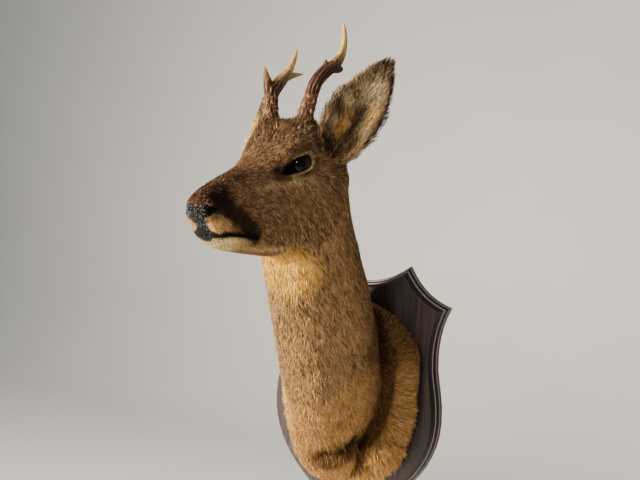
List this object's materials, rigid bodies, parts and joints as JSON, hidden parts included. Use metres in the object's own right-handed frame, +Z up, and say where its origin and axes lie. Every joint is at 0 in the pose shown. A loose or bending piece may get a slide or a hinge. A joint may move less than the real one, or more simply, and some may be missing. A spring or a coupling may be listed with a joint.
{
  "type": "roe deer shoulder mount",
  "caption": "Roe deer buck's head, neck and shoulder cape with short upright antlers, on a dark wooden shield with a moulded edge that hangs flat on a wall.",
  "frame": {"origin": "centre of the shield's flat back face, near mid-height, on the wall", "axes": "+Y out of the back face, into the wall; the deer looks towards -Y; +Z up; +X to the deer's left"},
  "size_m": [0.277, 0.3846, 0.6827],
  "materials": {
    "stained_wood": "dark brown stain under satin varnish, vertical grain",
    "coat": "short dense hair, tan-brown with darker tips, paler at the throat and chin",
    "glass_eye": "polished dark brown glass",
    "antler": "bone with a rough pearled brown surface, rubbed ivory at the tips"
  },
  "bodies": {
    "root": {"board": "stained_wood", "shoulder_cape": "coat", "neck": "coat", "head": "coat", "ear_left": "coat", "ear_right": "coat", "eye_left": "glass_eye", "eye_right": "glass_eye", "antler_left_beam": "antler", "antler_left_top": "antler", "antler_right_beam": "antler", "antler_right_top": "antler"}
  },
  "joints": []
}
